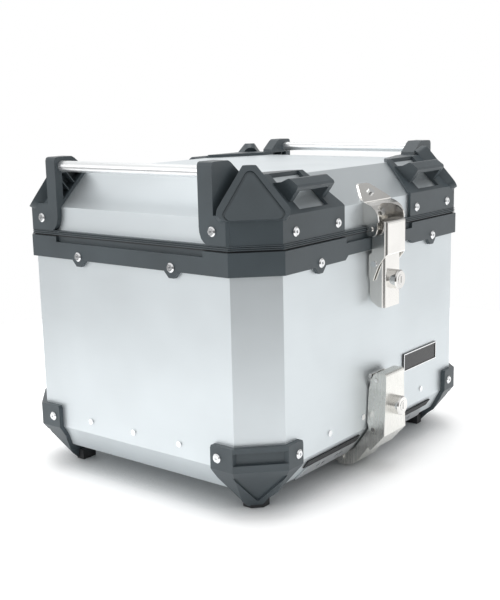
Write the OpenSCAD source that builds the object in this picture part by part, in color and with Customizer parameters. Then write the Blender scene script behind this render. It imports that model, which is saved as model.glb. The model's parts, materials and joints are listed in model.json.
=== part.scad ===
// Motorcycle aluminium top case: folded aluminium box and hinged lid, moulded corner
// guards, tie-down bars, a lockable lid latch and a lockable carrier latch.
// Millimetres. Z = 0 is the plane that the four feet stand on, -Y is the latch side.

/* [Box] */
// Outer width of the aluminium box
box_w = 430; // [400:5:460]
// Outer depth of the aluminium box
box_d = 354.4; // [330:2:390]
// Leg of the vertical corner chamfer
box_c = 37; // [30:1:45]
// Height of the lower fold above the feet
fold_z = 53; // [48:1:60]
// Underside of the floor above the feet
floor_z = 23.5; // [20:0.5:26]
// Inward run of the lower facet
facet_in = 21; // [16:1:26]
// Upper edge of the box sheet
shell_top = 270; // [240:5:300]
// Sheet thickness of box and lid
sheet = 1.5; // [1:0.1:2.5]

/* [Lid] */
// How far the lid skirt lies inside the box faces
lid_in = 2; // [1:0.5:4]
// Height of the lid skirt above the box sheet
skirt_h = 38; // [30:1:50]
// Horizontal run of the lid slope
slope_run = 38.5; // [30:0.5:50]
// Rise of the lid slope
slope_rise = 35; // [25:1:45]
// Opening angle used for the hinge stops
lid_open = 95; // [80:1:100]

/* [Tie-down bars] */
// Bar diameter
bar_d = 12; // [10:0.5:14]
// Bar axis from the centre plane
bar_x = 208.6; // [200:0.2:210]
// Bar axis above the feet
bar_z = 352.8; // [345:0.2:356]

/* [Latches] */
// Width of the pull-down link
link_w = 42; // [38:1:46]
// Width of the lid latch lever
lever_w = 35; // [32:1:36]
// Diameter of the lock caps
lock_d = 22; // [18:0.5:22]

/* [Carrier interface] */
// Bolt spacing across the case
bolt_x = 160; // [120:5:200]
// Bolt spacing front to back
bolt_y = 110; // [80:5:160]
// Clearance hole diameter for M6
bolt_d = 6.6; // [6.4:0.1:7]

/* [Hidden] */

$fn = 48;
hx = box_w / 2;
hy = box_d / 2;
run_per_z = facet_in / (fold_z - floor_z);
chamfer_per_z = 0.4;
rim_out = 4.5;
rim_z = 252;
rim_top = 276;
lid_hx = hx - lid_in;
lid_hy = hy - lid_in + 0.3;
lid_c = 35;
lid_fold = shell_top + skirt_h;
lid_top = lid_fold + slope_rise;
frame_top = 282.5;
guard_t = 3.8;
boot_t = 6;
slope_len = sqrt(slope_run * slope_run + slope_rise * slope_rise);
slope_s = slope_rise / slope_len;
slope_c = slope_run / slope_len;
hole_fit = 0.1;
screw_head_r = 5;
screw_head_h = 2.4;
screw_r = 2.4;

// Front and rear reach of the whole case, which set the row frame's Y origin
front_reach = 211.4;
rear_reach = 190.5;
frame_y = (front_reach - rear_reach) / 2;

// Latch side views, in (y, z)
lever_pivot = [-188, 245.5];
link_pivot = [-185.5, 241];
strike_axis = [-186, 280];
lock_z = 222.6;
lever_y = -197;
link_y = -202;
carrier_pivot = [-188, 109];
arm_pivot = [-186, 52];
arm_end = [-141, 10.5];
carrier_lock_z = 79;
carrier_y = -201;
hinge_axis = [186, 279.3];
hinge_x = 40;
hinge_w = 50;
pin_r = 2.5;
run_fit = 0.06;

// Fastener places
side_tab_y = 67.9;
front_tab_x = 118.6;
tab_screw_z = 256;
rivet_z = 67.6;
rivet_x0 = -98;
rivet_pitch = 67;
ear_screw_z = 65.7;
ear_side_y = 122.8;
ear_front_x = 164.1;
lid_side_y = 123.3;
lid_front_x = [83.5, 159.2];

ALU = [0.80, 0.83, 0.85];
PLASTIC = [0.26, 0.28, 0.30];
RUBBER = [0.10, 0.10, 0.11];
STEEL = [0.82, 0.82, 0.80];

// ---------- helpers ----------

module place() { translate([0, frame_y, 0]) children(); }

// Outline drawn in (y, z), extruded along X
module along_x(x0, x1) {
  translate([x0, 0, 0]) rotate([90, 0, 90]) linear_extrude(x1 - x0) children();
}

// Outline drawn in (x, z), extruded along Y
module along_y(y0, y1) {
  translate([0, y1, 0]) rotate([90, 0, 0]) linear_extrude(y1 - y0) children();
}

module rod_x(p, r, x0, x1) {
  translate([x0, p[0], p[1]]) rotate([0, 90, 0]) cylinder(r = r, h = x1 - x0);
}

module rod_y(x, z, r, y0, y1) {
  translate([x, y1, z]) rotate([90, 0, 0]) cylinder(r = r, h = y1 - y0);
}

// Mirror a piece drawn in the rear right quarter into another quarter
module quarter(sx, sy) {
  mirror([sx < 0 ? 1 : 0, 0, 0]) mirror([0, sy < 0 ? 1 : 0, 0]) children();
}

module all_quarters() {
  for (sx = [-1, 1]) for (sy = [-1, 1]) quarter(sx, sy) children();
}

function oct(ax, ay, c) = [[ax, c - ay], [ax, ay - c], [ax - c, ay], [c - ax, ay],
  [-ax, ay - c], [-ax, c - ay], [c - ax, -ay], [ax - c, -ay]];

// Octagon of the box, moved outwards by t
function box_ring(t) = oct(hx + t, hy + t, box_c + (2 - sqrt(2)) * t);

// Octagon of the lower facets at height z, moved outwards by t
function low_ring(z, t) = let (d = fold_z - z)
  oct(hx - d * run_per_z + t, hy - d * run_per_z + t, box_c - d * chamfer_per_z + (2 - sqrt(2)) * t);

function lid_ring(t) = oct(lid_hx + t, lid_hy + t, lid_c + (2 - sqrt(2)) * t);

function top_ring(t) = let (g = t * (1 - slope_c) / slope_s)
  oct(lid_hx - slope_run + g, lid_hy - slope_run + g, 1);

module prism(ring, z0, z1) { translate([0, 0, z0]) linear_extrude(z1 - z0) polygon(ring); }

// Straight-sided loft between two rings with the same number of points
module loft(a, za, b, zb) {
  n = len(a);
  points = concat([for (p = a) [p[0], p[1], za]], [for (p = b) [p[0], p[1], zb]]);
  sides = [for (i = [0 : n - 1]) [i, i + n, (i + 1) % n + n, (i + 1) % n]];
  polyhedron(points, concat([[for (i = [0 : n - 1]) i]], [[for (i = [0 : n - 1]) 2 * n - 1 - i]], sides));
}

// Solid box form moved outwards by t, down to z_low and up to z_high
module box_form(t, z_low, z_high) {
  loft(low_ring(z_low, t), z_low, box_ring(t), fold_z);
  prism(box_ring(t), fold_z, z_high);
}

// Solid lid form moved outwards by t, from z_low up
module lid_form(t, z_low) {
  z_fold = lid_fold + t * (1 - slope_s) / slope_c;
  prism(lid_ring(t), z_low, z_fold);
  loft(lid_ring(t), z_fold, top_ring(t), lid_top + t);
}

// Button head screw along +X at the origin, head base at x = 0
module screw_x(shank) {
  difference() {
    union() {
      rotate([0, 90, 0]) cylinder(r = screw_head_r, h = screw_head_h * 0.5);
      rotate([0, 90, 0]) translate([0, 0, screw_head_h * 0.5])
        cylinder(r1 = screw_head_r, r2 = screw_head_r * 0.72, h = screw_head_h * 0.5);
      translate([-shank, 0, 0]) rotate([0, 90, 0]) cylinder(r = screw_r, h = shank + 0.1);
    }
    translate([0.8, 0, 0]) rotate([0, 90, 0]) cylinder(r = 1.7, h = screw_head_h, $fn = 6);
  }
}

module screw_out(x, y, z, shank, front) {
  translate([x, y, z]) rotate([0, 0, front ? 90 : 0]) screw_x(shank);
}

// ---------- case body ----------

module carrier_holes(z0, z1) {
  for (sx = [-1, 1]) for (sy = [-1, 1])
    translate([sx * bolt_x / 2, sy * bolt_y / 2, z0]) cylinder(d = bolt_d, h = z1 - z0);
}

module body_shell() color(ALU) place() difference() {
  box_form(0, floor_z, shell_top);
  loft(low_ring(floor_z + sheet, -sheet), floor_z + sheet, box_ring(-sheet), fold_z);
  prism(box_ring(-sheet), fold_z, shell_top + 1);
  carrier_holes(floor_z - 1, floor_z + sheet + 1);
  all_quarters() {
    rod_y(ear_front_x, ear_screw_z, screw_r + hole_fit, hy - 5, hy + 5);
    translate([hx - 5, ear_side_y, ear_screw_z]) rotate([0, 90, 0])
      cylinder(r = screw_r + hole_fit, h = 10);
  }
}

// Strip profile on a lower facet, from z0 to z1 and thickness t across
function facet_y(z) = hy - (fold_z - z) * run_per_z;
function strip(z0, z1, t) = [[facet_y(z0) + 0.1, z0], [facet_y(z1) + 0.1, z1],
  [facet_y(z1) + 0.1 + t, z1], [facet_y(z0) + 0.1 + t, z0]];

base_x = 134;
latch_gap = 31;
flange_top = 37;

module base_plate() color(STEEL) place() difference() {
  union() {
    translate([-base_x, 4 - facet_y(floor_z), floor_z - 2.6])
      cube([2 * base_x, 2 * facet_y(floor_z) - 8, 2.5]);
    for (s = [0, 1]) mirror([0, s, 0]) for (m = [0, 1]) mirror([m, 0, 0])
      along_x(latch_gap, base_x) polygon(concat(strip(floor_z - 0.1, flange_top, 2.2),
        [[facet_y(floor_z) - 0.6, floor_z - 2.6], [facet_y(floor_z) - 12, floor_z - 2.6],
         [facet_y(floor_z) - 12, floor_z - 0.1]]));
  }
  carrier_holes(floor_z - 5, floor_z + 1);
  // slots in the flanges
  for (s = [0, 1]) mirror([0, s, 0]) for (x = [-95, -59, 59, 95])
    translate([x, facet_y(31), 31]) rotate([90 - atan(run_per_z), 0, 0])
      for (dx = [-4.5, 4.5]) translate([dx, 0, 0]) cylinder(r = 2.6, h = 12, center = true);
  // tapered ends of the front flange
  for (m = [0, 1]) mirror([m, 0, 0]) for (s = [0, 1]) mirror([0, s, 0])
    along_y(facet_y(floor_z) - 2, hy) polygon([[base_x - 14, flange_top + 1], [base_x + 1, flange_top + 1],
      [base_x + 1, floor_z - 1]]);
}

module rear_tongues() color(STEEL) place() for (m = [0, 1]) mirror([m, 0, 0])
  along_x(70, 100) polygon([[118, 20.9], [146, 20.9], [146, 6.5], [166, 6.5], [166, 4], [143.5, 4],
    [143.5, 18.4], [118, 18.4]]);

module edge_strips() color(RUBBER) place() for (s = [0, 1]) mirror([0, s, 0])
  for (m = [0, 1]) mirror([m, 0, 0]) along_x(latch_gap, base_x) polygon(strip(flange_top + 0.2, 46, 2.2));

tab_bottom = 245;
rim_step = 256.6;
slot_deep = 3.7;
tab_profile = [[-9.5, rim_z + 1], [9.5, rim_z + 1], [9.5, rim_z - 0.5], [3.6, tab_bottom],
  [-3.6, tab_bottom], [-9.5, rim_z - 0.5]];

module rim_frame() color(PLASTIC) place() difference() {
  union() {
    prism(box_ring(rim_out), rim_z, rim_top);
    for (s = [0, 1]) mirror([0, s, 0]) for (x = [-front_tab_x, front_tab_x])
      along_y(hy, hy + rim_out) translate([x, 0]) polygon(tab_profile);
    for (m = [0, 1]) mirror([m, 0, 0]) for (y = [-side_tab_y, side_tab_y])
      along_x(hx, hx + rim_out) translate([y, 0]) polygon(tab_profile);
  }
  prism(box_ring(0), rim_z - 9, 262);
  difference() {
    prism(box_ring(0), 261, shell_top);
    prism(box_ring(-sheet), 260, shell_top + 1);
  }
  prism(box_ring(-sheet - 2), 261, rim_top + 1);
  // long slot below the upper edge, on the two sides
  for (m = [0, 1]) mirror([m, 0, 0]) translate([hx + rim_out - slot_deep, -110.4, 270]) cube([9, 213, 7]);
  // thinner stretch for the hinges at the middle of the rear
  translate([0, 0, rim_z - 2]) linear_extrude(40) polygon([[-72, hy + rim_out + 1],
    [72, hy + rim_out + 1], [66, hy + rim_out - 1.7], [-66, hy + rim_out - 1.7]]);
  // raised lower edge and upper slot behind the lid latch
  along_y(-hy - 9, -hy + 9) polygon([[-72, rim_z - 1], [-72, rim_z], [-66.5, rim_step], [66.5, rim_step],
    [72, rim_z], [72, rim_z - 1]]);
  translate([-70, -hy - rim_out - 5, 270]) cube([140, 5 + slot_deep, 7]);
  rim_screw_places() translate([-8, 0, 0]) rotate([0, 90, 0]) cylinder(r = screw_r + hole_fit, h = 12);
}

// Children drawn along +X at every rim screw, x = 0 on the band's outer face
module rim_screw_places() {
  for (a = [0, 180]) rotate([0, 0, a]) {
    for (y = [-side_tab_y, side_tab_y]) translate([hx + rim_out, y, tab_screw_z]) children();
    for (x = [-front_tab_x, front_tab_x])
      translate([x, hy + rim_out, tab_screw_z]) rotate([0, 0, 90]) children();
  }
}

module rim_screws() color(STEEL) place() rim_screw_places() screw_x(4.3);

module rim_seal() color(RUBBER) place() difference() {
  prism(box_ring(1), rim_top, rim_top + 1.3);
  prism(box_ring(-3.4), rim_top - 1, rim_top + 3);
}

// Side outline of a bottom guard in (distance along the face, z): ear, chamfer edge and leg
function guard_side(ear, waist, inner, low, foot) = [[ear, 50], [ear, 75], [ear + 1, 78], [ear + 3, 80],
  [ear + 6.5, 81], [ear + 12, 80.8], [ear + 20, 79.6], [ear + 31, 78.6], [ear + 150, 78.6], [ear + 150, 0],
  [foot, 0], [low, 13], [inner, 25], [waist, 40]];

// Frame on the guard's lower corner facet: X square to it, Z up along it
facet_tilt = atan(run_per_z * 2 / sqrt(2) - chamfer_per_z / sqrt(2));
module facet_frame() {
  translate([hx - box_c / 2, hy - box_c / 2, fold_z]) rotate([0, 0, 45]) translate([boot_t, 0, 0])
    rotate([0, facet_tilt, 0]) children();
}

panel = [[27, -8.5], [-27, -8.5], [-27.8, -10.5], [-1.5, -53], [1.5, -53], [27.8, -10.5]];

module corner_protector() difference() {
  intersection() {
    box_form(boot_t, 2, 90);
    along_x(0, 300) polygon(guard_side(113.5, 115.2, 123, 129, 130));
    along_y(0, 300) polygon(guard_side(155.5, 161.7, 169, 172.5, 171));
  }
  box_form(0.05, floor_z, 95);
  foot();
  // triangular panel, set back a little
  facet_frame() along_x(-2, 4) polygon(panel);
  // slot across the chamfer
  difference() {
    translate([hx - box_c + 2.5, hy - box_c + 2.5, 60.5]) cube([60, 60, 13]);
    prism(box_ring(1.6), 49, 81);
  }
  translate([hx - 1, ear_side_y, ear_screw_z]) rotate([0, 90, 0]) cylinder(r = screw_r + hole_fit, h = 10);
  rod_y(ear_front_x, ear_screw_z, screw_r + hole_fit, hy - 1, hy + 9);
}

module corner_protector_fl() color(PLASTIC) place() quarter(-1, -1) corner_protector();
module corner_protector_fr() color(PLASTIC) place() quarter(1, -1) corner_protector();
module corner_protector_rl() color(PLASTIC) place() quarter(-1, 1) corner_protector();
module corner_protector_rr() color(PLASTIC) place() quarter(1, 1) corner_protector();

module foot() {
  linear_extrude(12) polygon([[160, 122], [180, 122], [180, 133], [171, 142], [160, 142]]);
}

module foot_fl() color(RUBBER) place() quarter(-1, -1) foot();
module foot_fr() color(RUBBER) place() quarter(1, -1) foot();
module foot_rl() color(RUBBER) place() quarter(-1, 1) foot();
module foot_rr() color(RUBBER) place() quarter(1, 1) foot();

module protector_screws() color(STEEL) place() all_quarters() {
  screw_out(hx + boot_t, ear_side_y, ear_screw_z, 10, false);
  screw_out(ear_front_x, hy + boot_t, ear_screw_z, 10, true);
}

module rivet_y(x, z) rod_y(x, z, 3.4, hy + 0.02, hy + 1.3);

module body_rivets() color(STEEL) place() {
  for (s = [0, 1]) mirror([0, s, 0]) for (i = [0 : 3]) rivet_y(rivet_x0 + i * rivet_pitch, rivet_z);
  for (m = [0, 1]) mirror([m, 0, 0]) for (y = [-66.3, 0, 66.3])
    translate([hx + 0.02, y, rivet_z]) rotate([0, 90, 0]) cylinder(r = 3.4, h = 1.3);
}

badge_x = 98;
badge_z = 110;
badge_w = 80;
badge_h = 22;

module badge() color(RUBBER) place() difference() {
  along_y(-hy - 2, -hy - 0.02) translate([badge_x - badge_w / 2, badge_z - badge_h / 2])
    square([badge_w, badge_h]);
  along_y(-hy - 3, -hy - 1.4) translate([badge_x - badge_w / 2 + 2, badge_z - badge_h / 2 + 2])
    square([badge_w - 4, badge_h - 4]);
}

// ---------- hinges ----------

module both_hinges() { for (s = [-1, 1]) translate([s * hinge_x, 0, 0]) children(); }

knuckle_r = 4.5;
knuckles = 5;
knuckle_w = hinge_w / knuckles;

// Knuckles with index parity p of one hinge
module knuckle_row(p) {
  for (i = [p : 2 : knuckles - 1]) {
    x0 = -hinge_w / 2 + i * knuckle_w + 0.15;
    rod_x(hinge_axis, knuckle_r, x0, x0 + knuckle_w - 0.3);
  }
}

module knuckle_gaps(p) {
  for (i = [p : 2 : knuckles - 1]) {
    x0 = -hinge_w / 2 + i * knuckle_w - 0.15;
    rod_x(hinge_axis, knuckle_r + 0.4, x0, x0 + knuckle_w + 0.3);
  }
}

rear_face = hy + rim_out - 1.7;

module hinge_body_leaf() difference() {
  union() {
    along_x(-hinge_w / 2, hinge_w / 2) polygon([[rear_face + 0.1, 253], [rear_face + 2.1, 253],
      [rear_face + 2.1, 270], [190, 276], [190, 279], [182.5, 279], [182.5, 276.6], [rear_face + 0.1, 271]]);
    knuckle_row(0);
  }
  knuckle_gaps(1);
  rod_x(hinge_axis, pin_r, -hinge_w, hinge_w);
  for (x = [-18, 18]) rod_y(x, 262, screw_r + hole_fit, rear_face - 1, rear_face + 5);
}

module hinge_body_leaf_left() color(STEEL) place() translate([-hinge_x, 0, 0]) hinge_body_leaf();
module hinge_body_leaf_right() color(STEEL) place() translate([hinge_x, 0, 0]) hinge_body_leaf();

lid_rear = lid_hy;

module hinge_lid_leaf() difference() {
  union() {
    along_x(-hinge_w / 2, hinge_w / 2) polygon([[lid_rear + 0.1, 284], [lid_rear + 0.1, 304],
      [lid_rear + 2.1, 304], [lid_rear + 2.1, 289], [187, 283.5], [189.8, 281], [188, 279.6], [183.6, 281.2],
      [182.6, 284]]);
    knuckle_row(1);
  }
  knuckle_gaps(0);
  rod_x(hinge_axis, pin_r + run_fit, -hinge_w, hinge_w);
  for (x = [-18, 18]) rod_y(x, 297, screw_r + hole_fit, lid_rear - 1, lid_rear + 5);
}

module hinge_lid_leaf_left() color(STEEL) place() translate([-hinge_x, 0, 0]) hinge_lid_leaf();
module hinge_lid_leaf_right() color(STEEL) place() translate([hinge_x, 0, 0]) hinge_lid_leaf();

module hinge_pin_left() color(STEEL) place()
  rod_x(hinge_axis, pin_r, -hinge_x - hinge_w / 2 - 1, -hinge_x + hinge_w / 2 + 1);
module hinge_pin_right() color(STEEL) place()
  rod_x(hinge_axis, pin_r, hinge_x - hinge_w / 2 - 1, hinge_x + hinge_w / 2 + 1);

module hinge_body_screws() color(STEEL) place() both_hinges() for (x = [-18, 18])
  screw_out(x, rear_face + 2.1, 262, 2, true);

module hinge_lid_screws() color(STEEL) place() both_hinges() for (x = [-18, 18])
  screw_out(x, lid_rear + 2.1, 297, 3.4, true);

// ---------- lid ----------

module lid_shell() color(ALU) place() difference() {
  lid_form(0, 280);
  lid_form(-sheet, 279);
  both_hinges() for (x = [-18, 18]) rod_y(x, 297, screw_r + hole_fit, hy - 8, hy + 5);
}

module lid_frame() color(PLASTIC) place() difference() {
  prism(box_ring(3.4), 277.6, frame_top);
  prism(box_ring(-6.5), 277, 285);
  difference() {
    prism(lid_ring(0.02), 280, 285);
    prism(lid_ring(-sheet - 0.02), 279, 286);
  }
  // two grooves round the edge
  difference() {
    for (z = [278.8, 280.7]) prism(box_ring(5), z, z + 0.8);
    prism(box_ring(2.2), 277, 283);
  }
}

// Plan outline of a lid corner guard
function corner_plan(y0) = [[70, 260], [70, lid_hy + 1], [88, lid_hy - slope_run], [97, 128], [158, y0 + 3],
  [178, y0], [260, y0], [260, 260]];
grip_x0 = 95.5;
grip_x1 = 146;

// Triangle pad: lies on the plane through three points of the corner
pad_low = 312;
pad_tilt = 57.2;
pad_base = [199.5, 159.75, pad_low];

module pad_frame() { translate(pad_base) rotate([0, 0, 45]) rotate([0, pad_tilt, 0]) children(); }

module rounded_triangle(half, height, r) {
  hull() {
    for (s = [-1, 1]) translate([-r + 5, s * (half - r)]) circle(r = r, $fn = 32);
    translate([-height + r + 3, 0]) circle(r = r, $fn = 32);
  }
}

module corner_pad() {
  difference() {
    intersection() {
      pad_frame() translate([0, 0, -14]) linear_extrude(14) rounded_triangle(36, 60, 9);
      translate([100, 60, 305]) cube([160, 160, 52.5]);
    }
    pad_frame() translate([0, 0, -1.2]) linear_extrude(3) difference() {
      rounded_triangle(30.5, 51, 6);
      rounded_triangle(28, 47, 5);
    }
  }
}

// Each fin reaches from its first to its second distance from the middle plane
front_fin = [106.5, 125];
rear_fin = [98, 112.5];

fin_proud = 6.4;
fin_top = 363;

fin_out = [[lid_hx + fin_proud, 300], [lid_hx + fin_proud, fin_top - 4], [lid_hx + 5.2, fin_top - 1],
  [lid_hx + 2.5, fin_top], [194, fin_top], [190, fin_top - 2], [176, 350], [174, 340], [lid_hx - 4, 300]];
fin_pocket = [[209.5, 313.5], [209.5, 345.4], [178.5, 345.4], [177, 342.6]];
rib_angle = atan(slope_run / slope_rise);

module bar_fin(fin) difference() {
  union() {
    along_y(fin[0], fin[1]) polygon(fin_out);
    // thick lower part of the guard between the fin and the corner chamfer
    translate([0, 0, frame_top + 0.1]) linear_extrude(29) polygon([[lid_hx - 3, fin[0]],
      [lid_hx + fin_proud, fin[0]], [lid_hx + fin_proud, 140.1], [lid_hx + guard_t, 142.7],
        [lid_hx - 3, 142.7]]);
  }
  // ribbed pocket beside the bar
  difference() {
    along_y(fin[0] - 1, fin[1] - 4) polygon(fin_pocket);
    for (d = [2, 13.5, 25]) along_y(fin[0] + 0.8, fin[1]) translate([209.5 - d * slope_c, 317 + d * slope_s])
      rotate(rib_angle) translate([-6, -0.6]) square([40, 1.2]);
  }
  rod_y(bar_x, bar_z, bar_d / 2 + 0.05, fin[0] - 1, fin[1] - 6);
}

grip_profile = [[158, 339.5], [167, 343.4], [169.5, 343], [177.5, 337.5], [178.5, 335], [176.5, 331.5],
  [173, 330.5], [165, 332]];
grip_leg = [[150, 328], [148, 338.5], [158, 339.5], [167, 343.4], [169.5, 343], [177.5, 337.5],
  [178.5, 335], [176.5, 331.5], [165, 317]];

module hand_grip() {
  along_x(grip_x0 - 7.5, grip_x1 + 6) polygon(grip_profile);
  along_x(grip_x0 - 7.5, grip_x0) polygon(grip_leg);
  along_x(grip_x1, grip_x1 + 7) polygon(grip_leg);
}

module lid_corner(fin) difference() {
  union() {
    intersection() {
      lid_form(guard_t, frame_top + 0.1);
      translate([0, 0, 270]) linear_extrude(90) polygon(corner_plan(fin[0]));
    }
    corner_pad();
    bar_fin(fin);
    hand_grip();
  }
  lid_form(0.05, 260);
  // rounded lower corner beside the fin
  along_x(lid_hx - 9, lid_hx + 20) polygon([[90, 300], [fin[0], 300], [fin[0] + 0.6, 294],
    [fin[0] + 2.6, 288.4],
    [fin[0] + 5.5, 285], [fin[0] + 10, 282], [90, 282]]);
  // opening of the hand grip through the guard
  translate([grip_x0, 138, lid_fold + 1.5]) cube([grip_x1 - grip_x0, 37.5, 21]);
  translate([grip_x0, 138, 320]) cube([grip_x1 - grip_x0, 20, 30]);
  translate([lid_hx - 1, lid_side_y, 296]) rotate([0, 90, 0]) cylinder(r = screw_r + hole_fit, h = 9);
  for (x = lid_front_x) rod_y(x, 292.7, screw_r + hole_fit, lid_hy - 1, lid_hy + 9);
}

module lid_corner_fl() color(PLASTIC) place() quarter(-1, -1) lid_corner(front_fin);
module lid_corner_fr() color(PLASTIC) place() quarter(1, -1) lid_corner(front_fin);
module lid_corner_rl() color(PLASTIC) place() quarter(-1, 1) lid_corner(rear_fin);
module lid_corner_rr() color(PLASTIC) place() quarter(1, 1) lid_corner(rear_fin);

module lid_corner_screws() color(STEEL) place() all_quarters() {
  screw_out(lid_hx + fin_proud, lid_side_y, 296, 6.2, false);
  for (x = lid_front_x) screw_out(x, lid_hy + guard_t, 292.7, 3.6, true);
}

module tie_bar() rod_y(bar_x, bar_z, bar_d / 2, 6.2 - front_fin[1], rear_fin[1] - 6.2);
module tie_bar_left() color("lightgray") place() mirror([1, 0, 0]) tie_bar();
module tie_bar_right() color("lightgray") place() tie_bar();

// ---------- lid latch ----------

strike_w = 57;
strike_t = 1.8;
arch_half = 26.4;
arch_rise = 10.6;
arch_z = 295;
plate_y = -lid_hy;

// Frame square to the lid slope, at the flap's screw
module flap_frame() {
  translate([0, plate_y + 8.6, lid_fold + 8.6 * slope_rise / slope_run])
    rotate([atan(slope_rise / slope_run), 0, 0]) children();
}

module lid_strike() color(STEEL) place() difference() {
  union() {
    // flap on the lid slope, rounded at its upper end
    intersection() {
      along_x(-strike_w / 2, strike_w / 2) polygon([[plate_y - 1.9, lid_fold - 3],
        [plate_y - 0.05, lid_fold - 3],
        [plate_y - 0.05, lid_fold + 0.1], [plate_y + 19.6, lid_fold + 18], [plate_y + 18.4, lid_fold + 19.4],
        [plate_y - 1.9, lid_fold + 1]]);
      along_y(-220, -120) polygon([[-28.5, 280], [28.5, 280], [28.5, 310.5], [26.5, 313], [12.5, 324.8],
        [8, 326.2], [-8, 326.2], [-12.5, 324.8], [-26.5, 313], [-28.5, 310.5]]);
    }
    // back plate on the skirt
    along_x(-strike_w / 2, strike_w / 2) polygon([[plate_y - 1.9, 284], [plate_y - 0.05, 284],
      [plate_y - 0.05, 306], [plate_y - 1.9, 306]]);
    // ears that carry the strike pin
    for (s = [-1, 1]) along_x(s * (strike_w / 2 - strike_t / 2) - strike_t / 2,
      s * (strike_w / 2 - strike_t / 2) + strike_t / 2) polygon([[plate_y - 0.1, 284], [plate_y - 0.1, 306.8],
      [plate_y - 5, 305.7], [plate_y - 10, 303.3], [plate_y - 15, 299.4], [plate_y - 17.6, 294.6],
      [plate_y - 18.4, 290], [plate_y - 18.2, 280], [plate_y - 17, 275], [plate_y - 13.5, 272],
      [plate_y - 7.5, 272], [plate_y - 5.5, 274.5], [plate_y - 5.5, 284]]);
    // hood between the ears
    along_x(-strike_w / 2, strike_w / 2) polygon([[plate_y - 0.1, 306.6], [plate_y - 4.7, 305.6],
      [plate_y - 9.5, 303.2], [plate_y - 14.3, 299.4], [plate_y - 17, 294.5], [plate_y - 17.9, 289.5],
      [plate_y - 17.9, 287.5], [plate_y - 19.7, 287.5], [plate_y - 19.7, 289.8], [plate_y - 18.7, 295.2],
      [plate_y - 15.8, 300.6], [plate_y - 10.6, 304.8], [plate_y - 5.4, 307.3], [plate_y - 0.1, 308.6]]);
  }
  // arched window in the hood
  along_y(-220, plate_y - 4) {
    translate([0, arch_z]) scale([arch_half / arch_rise, 1]) circle(r = arch_rise);
    translate([-arch_half, 270]) square([2 * arch_half, arch_z - 270]);
  }
  rod_x(strike_axis, pin_r, -40, 40);
  for (x = [-9, 9]) rod_y(x, 295, 2.1, -200, plate_y + 2);
  flap_frame() cylinder(r = 2.1, h = 12, center = true);
}

module strike_pin() color(STEEL) place()
  rod_x(strike_axis, pin_r, -strike_w / 2 - 1.6, strike_w / 2 + 1.6);

module strike_screws() color(STEEL) place() {
  for (x = [-9, 9]) {
    rod_y(x, 295, 3.9, plate_y - 4, plate_y - 1.95);
    rod_y(x, 295, 2, plate_y - 3, plate_y - 0.1);
  }
  flap_frame() {
    translate([0, 0, 2.1]) cylinder(r = 3.9, h = 2);
    translate([0, 0, 0.2]) cylinder(r = 2, h = 2.2);
  }
}

latch_base_w = 31.2;
latch_t = 1.6;
skin_y = -hy;

// Hooked lug on a latch base that a lock cam turns behind
module lock_keeper(y_face, z) {
  lip = y_face + 9.6;
  along_x(10.5, 14) polygon([[skin_y - 1, z - 5], [skin_y - 1, z + 7], [lip, z + 7], [lip, z - 5],
    [lip + 1.5, z - 5], [lip + 1.5, z + 5.2], [skin_y - 2, z + 5.2], [skin_y - 2, z - 5]]);
}

module latch_base() color(STEEL) place() difference() {
  union() {
    along_x(-latch_base_w / 2, latch_base_w / 2) polygon([[skin_y - 1.8, 206], [skin_y - 0.05, 206],
      [skin_y - 0.05, 251.5], [skin_y - 1.8, 251.5]]);
    for (m = [0, 1]) mirror([m, 0, 0]) along_x(latch_base_w / 2 - 1.8, latch_base_w / 2 - 0.2)
      polygon([[skin_y - 0.05, 234], [skin_y - 0.05, 251.5], [-189.5, 251.5], [-192, 249], [-192.8, 245.5],
        [-191.5, 242], [-188, 240.4], [-184, 236]]);
    lock_keeper(lever_y, lock_z);
  }
  rod_x(lever_pivot, pin_r, -40, 40);
  for (z = [211, 232]) for (x = [-7, 7]) rod_y(x, z, 2.1, skin_y - 3, skin_y + 1);
}

module latch_base_rivets() color(STEEL) place() for (z = [211, 232]) for (x = [-7, 7])
  rod_y(x, z, 2, skin_y - 2.3, skin_y - 0.1);

module lever_pivot_pin() color(STEEL) place() rod_x(lever_pivot, pin_r, -17.9, 17.9);

// Plan of a folded channel that is open to the rear: half width w, front face at y, bend radius r
module channel_plan(w, y, r) {
  for (s = [-1, 1]) translate([s * (w - r), y + r]) circle(r = r);
  translate([r - w, y]) square([2 * (w - r), r]);
  translate([-w, y + r]) square([2 * w, 60]);
}

module channel(w, y, r, z0, z1) { translate([0, 0, z0]) linear_extrude(z1 - z0) channel_plan(w, y, r); }

fold_r = 4.5;
lever_low = 192;
lever_top = 250.5;
lever_side = [[lever_y, lever_low], [lever_y, lever_top], [-190.5, 252], [-186.5, 252], [-183, 250],
  [-181.2, 246.5], [-178.2, 239], [-178, 203], [-180, 198.5], [-189, 192.7]];

module latch_lever() color(STEEL) place() difference() {
  intersection() {
    along_x(-lever_w / 2, lever_w / 2) polygon(lever_side);
    channel(lever_w / 2, lever_y, fold_r, lever_low - 1, lever_top + 5);
  }
  channel(lever_w / 2 - latch_t, lever_y + latch_t, fold_r - latch_t, lever_low - 2, lever_top + 6);
  rod_x(lever_pivot, pin_r + run_fit, -40, 40);
  rod_x(link_pivot, link_pin_r, -40, 40);
  rod_y(0, lock_z, 8.5, lever_y - 1, lever_y + 4);
}

link_pin_r = 2;

module latch_link_rivets() color(STEEL) place() for (m = [0, 1]) mirror([m, 0, 0]) union() {
  rod_x(link_pivot, link_pin_r, lever_w / 2 - latch_t, link_w / 2 + 1);
  rod_x(link_pivot, 3.4, link_w / 2 + 0.05, link_w / 2 + 1.2);
}

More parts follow.
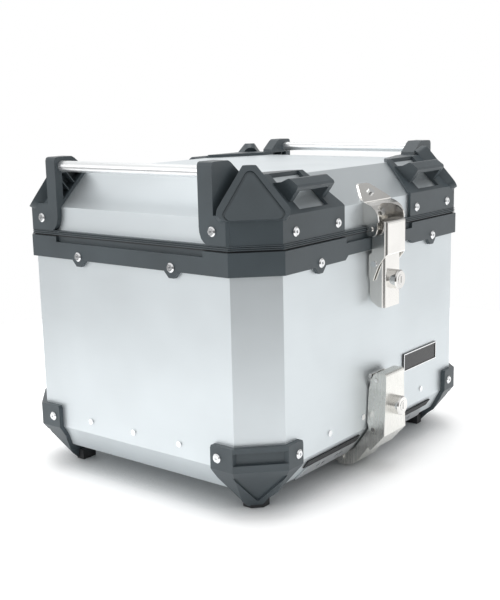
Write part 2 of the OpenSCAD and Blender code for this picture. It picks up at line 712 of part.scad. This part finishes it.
// Side plate of the link in (y, z): rivet lug below, notch over the strike pin above
link_side = [[link_y, 253], [link_y, 285], [-201.4, 286.8], [-199.8, 287.8], [-191.4, 289.7], [-191, 288],
  [-185.4, 287.2], [-184.4, 286], [-184.4, 283.6], [-189.1, 283.6], [-189.1, 276.9], [-183.4, 276.9],
  [-182.6, 253], [-178.8, 250.5], [-178.8, 226], [-180.4, 222], [-184, 222], [-188, 232], [-190.5, 238],
  [-196, 246]];

module latch_link() color(STEEL) place() difference() {
  intersection() {
    along_x(-link_w / 2, link_w / 2) polygon(link_side);
    channel(link_w / 2, link_y, fold_r, 220, 295);
  }
  // hollow under the lip that is turned back at the top
  intersection() {
    channel(link_w / 2 - latch_t, link_y + latch_t, fold_r - latch_t, 215, 295);
    along_x(-30, 30) polygon([[-210, 210], [-210, 285.4], [-200, 286], [-191, 288.1], [-170, 288.1],
      [-170, 210]]);
  }
  rod_x(link_pivot, link_pin_r + run_fit, -40, 40);
}

lock_h = 10;

// Lock body with its tall cap on the lever's face
module lock_housing(y_face, z) {
  difference() {
    union() {
      rod_y(0, z, lock_d / 2, y_face + 1.4 - lock_h, y_face - 0.02);
      translate([0, y_face + 1.5 - lock_h, z]) rotate([90, 0, 0])
        cylinder(r1 = lock_d / 2, r2 = lock_d / 2 - 1.3, h = 1.5);
      rod_y(0, z, 8.4, y_face - 1, y_face + 11);
    }
    rod_y(0, z, 5.5 + run_fit, y_face - lock_h - 2, y_face + 20);
  }
}

module lock_plug(y_face, z) difference() {
  union() {
    rod_y(0, z, 5.5, y_face - lock_h - 0.4, y_face + 11.4);
    rod_y(0, z, 3, y_face + 11, y_face + 13);
  }
  translate([-0.6, y_face - lock_h - 1, z - 3.6]) cube([1.2, 5, 7.2]);
}

module lock_cam(y_face, z) difference() {
  union() {
    rod_y(0, z, 6.2, y_face + 11.6, y_face + 13.1);
    along_y(y_face + 11.6, y_face + 13.1) translate([-3.6, z - 13.4]) square([7.2, 12]);
  }
  rod_y(0, z, 3, y_face + 10, y_face + 14);
}

module lid_lock_housing() color(STEEL) place() lock_housing(lever_y, lock_z);
module lid_lock_plug() color(STEEL) place() lock_plug(lever_y, lock_z);
module lid_lock_cam() color(STEEL) place() lock_cam(lever_y, lock_z);

// ---------- carrier latch ----------

carrier_base_w = 30;

module carrier_latch_base() color(STEEL) place() difference() {
  union() {
    along_x(-carrier_base_w / 2, carrier_base_w / 2) polygon([[skin_y - 1.8, 62], [skin_y - 0.05, 62],
      [skin_y - 0.05, 114], [skin_y - 1.8, 114]]);
    for (s = [-1, 1]) along_x(s * (carrier_base_w - 1.8) / 2 - 0.9, s * (carrier_base_w - 1.8) / 2 + 0.9)
      polygon([[skin_y - 0.05, 93], [skin_y - 0.05, 103], [-182.8, 108], [-183.2, 111.5], [-185.4, 113.8],
        [-188.6, 114.5], [-191.8, 113], [-193.4, 109.5], [-192.6, 105.5], [-189, 102]]);
    lock_keeper(carrier_y, carrier_lock_z);
  }
  rod_x(carrier_pivot, pin_r, -40, 40);
  for (z = [68, 93]) for (x = [-9, 9]) rod_y(x, z, 2.1, skin_y - 3, skin_y + 1);
}

module carrier_base_rivets() color(STEEL) place() for (z = [68, 93]) for (x = [-9, 9])
  rod_y(x, z, 2, skin_y - 2.3, skin_y - 0.1);

module carrier_pivot_pin() color(STEEL) place() rod_x(carrier_pivot, pin_r, -20.8, 20.8);

carrier_side = [[carrier_y, 47], [carrier_y, 115], [carrier_y + 0.8, 116.8], [carrier_y + 2.4, 117.8],
  [-188.2, 117.8],
  [-184.4, 115.4], [-181.4, 109], [-180.2, 103], [-178.4, 99], [-178.2, 60], [-180.3, 54], [-180.3, 30],
  [-183, 26.6]];

module carrier_lever() color(STEEL) place() difference() {
  intersection() {
    along_x(-24, 24) polygon(carrier_side);
    along_y(-230, -150) polygon([[-20, 130], [-20, 100], [-24, 47], [-24, 20], [24, 20], [24, 47], [20, 100],
      [20, 130]]);
  }
  intersection() {
    along_x(-24, 24) polygon([[carrier_y + 1.6, 48], [carrier_y + 1.6, 114.6], [carrier_y + 3, 116.2],
      [-188.2, 116.2], [-187.4, 130], [-170, 130], [-170, 20], [-180, 26.6], [-181.8, 28]]);
    along_y(-230, -150) polygon([[-18.4, 130], [-18.4, 100], [-22.4, 47], [-22.4, 20], [22.4, 20], [22.4, 47],
      [18.4, 100], [18.4, 130]]);
  }
  rod_x(carrier_pivot, pin_r + run_fit, -40, 40);
  rod_x(arm_pivot, 2.5, -40, 40);
  rod_y(0, carrier_lock_z, 8.5, carrier_y - 1, carrier_y + 4);
}

module carrier_lock_housing() color(STEEL) place() lock_housing(carrier_y, carrier_lock_z);
module carrier_lock_plug() color(STEEL) place() lock_plug(carrier_y, carrier_lock_z);
module carrier_lock_cam() color(STEEL) place() lock_cam(carrier_y, carrier_lock_z);

module carrier_arm_pin() color(STEEL) place() rod_x(arm_pivot, 2.5, -23.9, 23.9);

arm_w = 41;
arm_outline = [[-190.5, 53], [-188.5, 57], [-184, 58], [-181, 55], [-172.5, 42.5], [-158, 22], [-149, 17.6],
  [-138, 17], [-134, 14.5], [-132.8, 10.5], [-134.5, 5.5], [-139, 2], [-146, 1.4], [-157, 4.6], [-163.5, 9],
  [-178.6, 29.5], [-187.5, 44]];
arm_hollow = [[-200, 64], [-150, 64], [-140, 20], [-136.6, 20], [-137, 7.2], [-140, 4.2], [-145.6, 3.6],
  [-156, 6.6], [-162, 10.6], [-177, 31], [-185.8, 45.5], [-194, 52]];

module carrier_arm() color(STEEL) place() difference() {
  along_x(-arm_w / 2, arm_w / 2) polygon(arm_outline);
  along_x(-arm_w / 2 + 2, arm_w / 2 - 2) polygon(arm_hollow);
  rod_x(arm_pivot, 2.5 + run_fit, -40, 40);
  rod_x(arm_end, 3, -40, 40);
}

module arm_cross_pin() color(STEEL) place() union() {
  rod_x(arm_end, 3, -arm_w / 2 - 0.4, arm_w / 2 + 0.4);
  for (s = [0, 1]) mirror([s, 0, 0]) rod_x(arm_end, 4.6, arm_w / 2 + 0.02, arm_w / 2 + 2.2);
}

// ---------- drawing ----------

body_shell();
base_plate();
rear_tongues();
edge_strips();
rim_frame();
rim_seal();
corner_protector_fl();
corner_protector_fr();
corner_protector_rl();
corner_protector_rr();
foot_fl();
foot_fr();
foot_rl();
foot_rr();
body_rivets();
rim_screws();
protector_screws();
badge();
latch_base();
latch_base_rivets();
lever_pivot_pin();
carrier_latch_base();
carrier_base_rivets();
carrier_pivot_pin();
hinge_body_leaf_left();
hinge_body_leaf_right();
hinge_pin_left();
hinge_pin_right();
hinge_body_screws();
lid_shell();
lid_frame();
lid_corner_fl();
lid_corner_fr();
lid_corner_rl();
lid_corner_rr();
tie_bar_left();
tie_bar_right();
lid_corner_screws();
lid_strike();
strike_pin();
strike_screws();
hinge_lid_leaf_left();
hinge_lid_leaf_right();
hinge_lid_screws();
latch_lever();
lid_lock_housing();
latch_link_rivets();
latch_link();
lid_lock_plug();
lid_lock_cam();
carrier_lever();
carrier_lock_housing();
carrier_arm_pin();
carrier_arm();
arm_cross_pin();
carrier_lock_plug();
carrier_lock_cam();
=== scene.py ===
"""Looks of the motorcycle aluminium top case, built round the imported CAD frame. Metres."""

import json
import math

import bmesh
import bpy
from mathutils import Matrix, Vector


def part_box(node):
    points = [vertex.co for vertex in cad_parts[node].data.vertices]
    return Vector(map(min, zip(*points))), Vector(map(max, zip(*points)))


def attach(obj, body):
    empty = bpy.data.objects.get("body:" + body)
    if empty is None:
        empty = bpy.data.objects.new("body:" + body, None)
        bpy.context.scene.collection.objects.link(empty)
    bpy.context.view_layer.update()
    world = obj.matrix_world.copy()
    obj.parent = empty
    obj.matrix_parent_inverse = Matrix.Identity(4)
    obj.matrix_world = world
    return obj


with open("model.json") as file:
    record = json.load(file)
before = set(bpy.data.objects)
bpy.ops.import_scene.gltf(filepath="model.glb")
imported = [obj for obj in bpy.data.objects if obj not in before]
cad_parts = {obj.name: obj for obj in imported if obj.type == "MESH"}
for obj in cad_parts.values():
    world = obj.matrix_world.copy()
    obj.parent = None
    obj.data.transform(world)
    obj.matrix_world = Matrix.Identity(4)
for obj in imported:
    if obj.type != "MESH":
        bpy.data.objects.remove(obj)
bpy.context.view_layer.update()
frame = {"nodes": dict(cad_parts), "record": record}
NODES = frame["nodes"]
MM = 0.001
UP = Vector((0, 0, 1))
# The record's Y origin is the middle of the whole case; the box itself is centred a little behind it.
BODY_LO, BODY_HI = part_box("body_shell")
FRAME_Y = (BODY_LO.y + BODY_HI.y) / 2


# ---------- camera ----------

CAM_PLACE = Vector((-958.6, -748.8, 424.5)) * MM + Vector((0, FRAME_Y, 0))
CAM_FORWARD = Vector((0.77068, 0.60533, -0.19909)).normalized()
CAM_ROLL = math.radians(-1.273)
CAM_LENS = 60.5
CAM_SENSOR = 36

camera_data = bpy.data.cameras.new("camera")
camera_data.lens = CAM_LENS
camera_data.sensor_width = CAM_SENSOR
camera_data.clip_start = 0.05
camera_data.clip_end = 50
camera = bpy.data.objects.new("camera", camera_data)
bpy.context.scene.collection.objects.link(camera)
level = CAM_FORWARD.cross(UP).normalized()
upward = level.cross(CAM_FORWARD)
right = level * math.cos(CAM_ROLL) + upward * math.sin(CAM_ROLL)
up = right.cross(CAM_FORWARD)
turn = Matrix((right, up, -CAM_FORWARD)).transposed()
camera.matrix_world = Matrix.Translation(CAM_PLACE) @ turn.to_4x4()
bpy.context.scene.camera = camera
bpy.context.scene.view_settings.view_transform = "Standard"


# ---------- node helpers ----------

def material(name):
    """A new material with one Principled surface."""
    m = bpy.data.materials.new(name)
    m.use_nodes = True
    nt = m.node_tree
    nt.nodes.clear()
    out = nt.nodes.new("ShaderNodeOutputMaterial")
    bsdf = nt.nodes.new("ShaderNodeBsdfPrincipled")
    nt.links.new(bsdf.outputs["BSDF"], out.inputs["Surface"])
    return m, nt, bsdf


def place_node(nt, scale=(1, 1, 1)):
    """Object coordinates, stretched by scale."""
    co = nt.nodes.new("ShaderNodeTexCoord")
    mp = nt.nodes.new("ShaderNodeMapping")
    mp.inputs["Scale"].default_value = scale
    nt.links.new(co.outputs["Object"], mp.inputs["Vector"])
    return mp.outputs["Vector"]


def noise(nt, vec, scale, detail=3.0, rough=0.55):
    n = nt.nodes.new("ShaderNodeTexNoise")
    n.inputs["Scale"].default_value = scale
    n.inputs["Detail"].default_value = detail
    n.inputs["Roughness"].default_value = rough
    nt.links.new(vec, n.inputs["Vector"])
    return n.outputs["Fac"]


def ramp(nt, fac, a, b, lo=0.0, hi=1.0):
    """Maps fac from lo..hi to a..b."""
    m = nt.nodes.new("ShaderNodeMapRange")
    m.inputs["From Min"].default_value = lo
    m.inputs["From Max"].default_value = hi
    m.inputs["To Min"].default_value = a
    m.inputs["To Max"].default_value = b
    nt.links.new(fac, m.inputs["Value"])
    return m.outputs["Result"]


def colours(nt, fac, c0, c1, lo=0.0, hi=1.0):
    """Blends fac from lo..hi into colours c0..c1."""
    r = nt.nodes.new("ShaderNodeValToRGB")
    r.color_ramp.elements[0].position = lo
    r.color_ramp.elements[1].position = hi
    r.color_ramp.elements[0].color = (*c0, 1)
    r.color_ramp.elements[1].color = (*c1, 1)
    nt.links.new(fac, r.inputs["Fac"])
    return r.outputs["Color"]


def bump(nt, bsdf, height, strength, distance):
    b = nt.nodes.new("ShaderNodeBump")
    b.inputs["Strength"].default_value = strength
    b.inputs["Distance"].default_value = distance
    nt.links.new(height, b.inputs["Height"])
    nt.links.new(b.outputs["Normal"], bsdf.inputs["Normal"])


def shade(colour, factor):
    """The colour made lighter or darker, never past white."""
    return tuple(min(1, c * factor) for c in colour)


# ---------- materials ----------

def sheet_metal(name, colour, rough, metallic, grain):
    """Satin anodised sheet: fine blasted grain, faint rolling streaks and soft tone changes."""
    m, nt, b = material(name)
    vec = place_node(nt)
    b.inputs["Metallic"].default_value = metallic
    tone = colours(nt, noise(nt, vec, 9, 2), shade(colour, 0.97), shade(colour, 1.03), 0.35, 0.65)
    nt.links.new(tone, b.inputs["Base Color"])
    streaks = noise(nt, place_node(nt, (1, 1, 60)), 14, 4, 0.6)
    nt.links.new(ramp(nt, streaks, rough - 0.035, rough + 0.035, 0.3, 0.7), b.inputs["Roughness"])
    bump(nt, b, noise(nt, vec, 1500, 2, 0.6), grain, 0.06 * MM)
    return m


def steel(name, colour, rough, streak_axis, strength):
    """Bright rolled stainless sheet with hairline brushing along one axis."""
    m, nt, b = material(name)
    stretch = [220, 220, 220]
    stretch[streak_axis] = 4
    hair = noise(nt, place_node(nt, tuple(stretch)), 6, 3, 0.6)
    b.inputs["Metallic"].default_value = 1.0
    tone = colours(nt, noise(nt, place_node(nt), 25, 2), shade(colour, 0.93), colour, 0.3, 0.7)
    nt.links.new(tone, b.inputs["Base Color"])
    nt.links.new(ramp(nt, hair, rough - 0.02, rough + 0.04, 0.3, 0.7), b.inputs["Roughness"])
    bump(nt, b, hair, strength, 0.03 * MM)
    return m


def plastic(name, colour, rough, grain):
    """Moulded nylon with a spark-eroded grain and a faintly uneven colour."""
    m, nt, b = material(name)
    vec = place_node(nt)
    tone = colours(nt, noise(nt, vec, 14, 3), shade(colour, 0.88), shade(colour, 1.14), 0.3, 0.7)
    nt.links.new(tone, b.inputs["Base Color"])
    grain_scale = 900
    cells = nt.nodes.new("ShaderNodeTexVoronoi")
    cells.inputs["Scale"].default_value = grain_scale
    nt.links.new(vec, cells.inputs["Vector"])
    fine = noise(nt, vec, grain_scale * 2.2, 2)
    add = nt.nodes.new("ShaderNodeMath")
    nt.links.new(cells.outputs["Distance"], add.inputs[0])
    nt.links.new(fine, add.inputs[1])
    nt.links.new(ramp(nt, fine, rough - 0.05, rough + 0.06, 0.3, 0.7), b.inputs["Roughness"])
    b.inputs["Specular IOR Level"].default_value = 0.5
    bump(nt, b, add.outputs["Value"], grain, 0.12 * MM)
    return m


def rubber(name, colour, rough):
    """Matt rubber with a fine uneven skin."""
    m, nt, b = material(name)
    vec = place_node(nt)
    fine = noise(nt, vec, 700, 3)
    tone = colours(nt, noise(nt, vec, 30, 2), shade(colour, 0.8), shade(colour, 1.3))
    nt.links.new(tone, b.inputs["Base Color"])
    nt.links.new(ramp(nt, fine, rough - 0.06, rough + 0.08), b.inputs["Roughness"])
    bump(nt, b, fine, 0.3, 0.1 * MM)
    return m


ALU = sheet_metal("satin_aluminium", (0.655, 0.700, 0.722), 0.42, 0.75, 0.25)
BAR = sheet_metal("bar_aluminium", (0.88, 0.895, 0.90), 0.30, 0.85, 0.12)
GREY = plastic("grey_nylon", (0.053, 0.068, 0.077), 0.42, 0.35)
BLACK = rubber("black_rubber", (0.018, 0.019, 0.021), 0.62)
LATCH = steel("stainless_sheet", (0.90, 0.885, 0.855), 0.19, 2, 0.03)
# A rougher copy of the stainless sheet whose colour is darkened as painted shade, for the carrier lever
# and arm.
LATCH_SHADE_PAINTED = steel("stainless_painted_shade", (0.80, 0.795, 0.76), 0.27, 2, 0.03)
ZINC = steel("zinc_plate", (0.60, 0.615, 0.63), 0.36, 0, 0.12)
SCREW = steel("bright_screw", (0.86, 0.87, 0.88), 0.20, 1, 0.05)
CHROME = steel("lock_chrome", (0.80, 0.79, 0.77), 0.12, 1, 0.03)
BADGE = plastic("badge_black", (0.012, 0.012, 0.014), 0.22, 0.05)

# Finish of each material slot, and of the nodes that differ from their slot
FINISH = {
    "sheet_aluminium": ALU, "bar_aluminium": BAR, "grey_plastic": GREY, "black_rubber": BLACK,
    "stainless_sheet": LATCH, "fastener_steel": SCREW, "lock_chrome": CHROME, "badge_black": BADGE,
}
NODE_FINISH = {
    "base_plate": ZINC, "rear_tongues": ZINC, "body_rivets": SCREW,
    # The carrier lever and arm take the stainless copy darkened as painted shade.
    "carrier_lever": LATCH_SHADE_PAINTED, "carrier_arm": LATCH_SHADE_PAINTED,
}
SLOTS = {s["node"]: s["material_slot"] for s in frame["record"]["subparts"]}


# ---------- rounded edges of the CAD nodes ----------

# Rounding: (width in millimetres, segments, smallest angle in degrees)
GUARD_EDGES = (1.1, 3, 22)
FOLDED_EDGES = (0.45, 3, 25)
NODE_EDGES = {
    "body_shell": (2.2, 4, 20), "lid_shell": (2.2, 4, 20), "base_plate": (0.6, 2, 30),
    "edge_strips": (0.5, 2, 30), "rim_frame": (0.9, 3, 25), "lid_frame": (0.5, 2, 25),
    "badge": (0.3, 2, 30),
}
GUARDS = ("lid_corner_", "corner_protector_")
FOLDED = ("latch", "carrier_l", "carrier_arm", "lid_strike", "hinge_body_leaf", "hinge_lid_leaf", "rear")
ROUND_PIECES = ("screws", "pin", "rivets")


def edges_of(name):
    """How a node's edges are rounded, or None."""
    if name in NODE_EDGES:
        return NODE_EDGES[name]
    if name.endswith(ROUND_PIECES):
        return None
    if name.startswith(GUARDS):
        return GUARD_EDGES
    return FOLDED_EDGES if name.startswith(FOLDED) else None


def soften(obj, width, segments, angle):
    """Joins the CAD mesh's flat faces and rounds its edges."""
    weld = obj.modifiers.new("weld", "WELD")
    weld.merge_threshold = 0.002 * MM
    flat = obj.modifiers.new("flat", "DECIMATE")
    flat.decimate_type = "DISSOLVE"
    flat.angle_limit = math.radians(0.6)
    bevel = obj.modifiers.new("bevel", "BEVEL")
    bevel.width = width * MM
    bevel.segments = segments
    bevel.limit_method = "ANGLE"
    bevel.angle_limit = math.radians(angle)
    bevel.miter_outer = "MITER_ARC"
    normals = obj.modifiers.new("normals", "WEIGHTED_NORMAL")
    normals.keep_sharp = True


for node_name, node in NODES.items():
    node.data.materials.clear()
    node.data.materials.append(NODE_FINISH.get(node_name, FINISH[SLOTS[node_name]]))
    edges = edges_of(node_name)
    if edges:
        soften(node, *edges)


# ---------- own pieces ----------

def loop_plate(name, lo, hi, width, depth, mat):
    """Thin rectangular border in the XZ plane, standing proud of y = lo.y by depth towards -Y."""
    bm = bmesh.new()
    inset = Vector((width, 0, width))
    rings = []
    for a, b in ((lo, hi), (lo + inset, hi - inset)):
        corners = ((a.x, a.z), (b.x, a.z), (b.x, b.z), (a.x, b.z))
        rings.append([[bm.verts.new((x, y, z)) for x, z in corners] for y in (lo.y, lo.y - depth)])
    outer, inside = rings
    for i in range(4):
        j = (i + 1) % 4
        bm.faces.new((outer[0][i], outer[0][j], outer[1][j], outer[1][i]))
        bm.faces.new((inside[0][j], inside[0][i], inside[1][i], inside[1][j]))
        bm.faces.new((outer[1][i], outer[1][j], inside[1][j], inside[1][i]))
        bm.faces.new((outer[0][j], outer[0][i], inside[0][i], inside[0][j]))
    bmesh.ops.recalc_face_normals(bm, faces=bm.faces)
    mesh = bpy.data.meshes.new(name)
    bm.to_mesh(mesh)
    bm.free()
    mesh.materials.append(mat)
    plate = bpy.data.objects.new(name, mesh)
    bpy.context.scene.collection.objects.link(plate)
    bevel = plate.modifiers.new("bevel", "BEVEL")
    bevel.width = 0.12 * MM
    bevel.segments = 2
    return plate


# Pale rim pressed on the blank plate
RIM_INSET = 0.3 * MM
RIM_SUNK = 0.02 * MM
RIM_WIDTH = 1.2 * MM
RIM_PROUD = 0.35 * MM

plate_lo, plate_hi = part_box("badge")
rim_y = plate_lo.y + RIM_SUNK
border = loop_plate("badge_border", Vector((plate_lo.x + RIM_INSET, rim_y, plate_lo.z + RIM_INSET)),
                    Vector((plate_hi.x - RIM_INSET, rim_y, plate_hi.z - RIM_INSET)),
                    RIM_WIDTH, RIM_PROUD, SCREW)
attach(border, "case")


# ---------- floor ----------

# The floor is a round white sheet; beyond it the white room takes over.
FLOOR_RADIUS = 0.85
FLOOR_GAP = 0.2 * MM
SHADE_REACH = 0.08

floor_mesh = bpy.data.meshes.new("floor")
disc = bmesh.new()
bmesh.ops.create_circle(disc, cap_ends=True, segments=96, radius=FLOOR_RADIUS)
disc.to_mesh(floor_mesh)
disc.free()
floor = bpy.data.objects.new("floor", floor_mesh)
floor.location.z = -FLOOR_GAP
bpy.context.scene.collection.objects.link(floor)

# The sheet glows a little: painted light, which also lights the case from below. Its glow and its white
# fall off where something stands close above it, a painted contact shadow.
paper, paper_tree, paper_surface = material("floor_paper")
contact_shade = paper_tree.nodes.new("ShaderNodeAmbientOcclusion")
contact_shade.samples = 8
contact_shade.inputs["Distance"].default_value = SHADE_REACH
white = colours(paper_tree, contact_shade.outputs["AO"], (0.60, 0.62, 0.63), (0.97, 0.97, 0.97), 0.20, 0.70)
glow = ramp(paper_tree, contact_shade.outputs["AO"], 0.0, 0.33, 0.25, 0.75)
paper_tree.links.new(white, paper_surface.inputs["Base Color"])
paper_tree.links.new(glow, paper_surface.inputs["Emission Strength"])
paper_surface.inputs["Emission Color"].default_value = (1, 1, 1, 1)
paper_surface.inputs["Roughness"].default_value = 0.7
floor_mesh.materials.append(paper)


# ---------- light ----------

world = bpy.data.worlds.new("studio")
bpy.context.scene.world = world
world.use_nodes = True
wnt = world.node_tree
sky = wnt.nodes["Background"]
wco = wnt.nodes.new("ShaderNodeTexCoord")


def dim_patch(strength, direction, inner, outer, dimmed):
    """Dims strength inside the cone of directions whose cosine is above inner, easing off to outer."""
    dot = wnt.nodes.new("ShaderNodeVectorMath")
    dot.operation = "DOT_PRODUCT"
    dot.inputs[1].default_value = Vector(direction).normalized()
    wnt.links.new(wco.outputs["Generated"], dot.inputs[0])
    part = ramp(wnt, dot.outputs["Value"], 1.0, dimmed, outer, inner)
    mul = wnt.nodes.new("ShaderNodeMath")
    mul.operation = "MULTIPLY"
    wnt.links.new(part, mul.inputs[1])
    if isinstance(strength, float):
        mul.inputs[0].default_value = strength
    else:
        wnt.links.new(strength, mul.inputs[0])
    return mul.outputs["Value"]


# The room is bright all round. It is dark at the front left, which draws the dark lines along the latch
# folds, and half dark low down at the rear left, which greys the sides of the latches. It is a little
# softer overhead and high on the right, which tones the lid's top and the flap on its slope.
ROOM_STRENGTH = 1.08
room = dim_patch(ROOM_STRENGTH, (-0.61, -0.78, -0.12), 0.96, 0.70, 0.10)
room = dim_patch(room, (-0.80, 0.55, -0.22), 0.96, 0.82, 0.28)
room = dim_patch(room, UP, 0.85, 0.15, 0.72)
room = dim_patch(room, (0.77, -0.14, 0.62), 0.95, 0.80, 0.50)
# Behind the case, the backdrop is plain white.
seen = wnt.nodes.new("ShaderNodeLightPath")
pick = wnt.nodes.new("ShaderNodeMix")
pick.data_type = "FLOAT"
wnt.links.new(seen.outputs["Is Camera Ray"], pick.inputs[0])
wnt.links.new(room, pick.inputs[2])
pick.inputs[3].default_value = 1.0
wnt.links.new(pick.outputs[0], sky.inputs["Strength"])
sky.inputs["Color"].default_value = (1, 1, 1, 1)


def area(name, place, target, size, power):
    """A rectangular lamp at place that faces target."""
    data = bpy.data.lights.new(name, "AREA")
    data.shape = "RECTANGLE"
    data.size, data.size_y = size
    data.energy = power
    lamp = bpy.data.objects.new(name, data)
    lamp.location = place
    lamp.rotation_euler = (Vector(target) - Vector(place)).to_track_quat("-Z", "Y").to_euler()
    bpy.context.scene.collection.objects.link(lamp)


area("key_left", (-2.3, 1.1, 0.75), (0, 0, 0.15), (1.8, 1.2), 13)
area("top", (0.2, 0.4, 2.6), (0, 0, 0.2), (2.0, 2.0), 24)
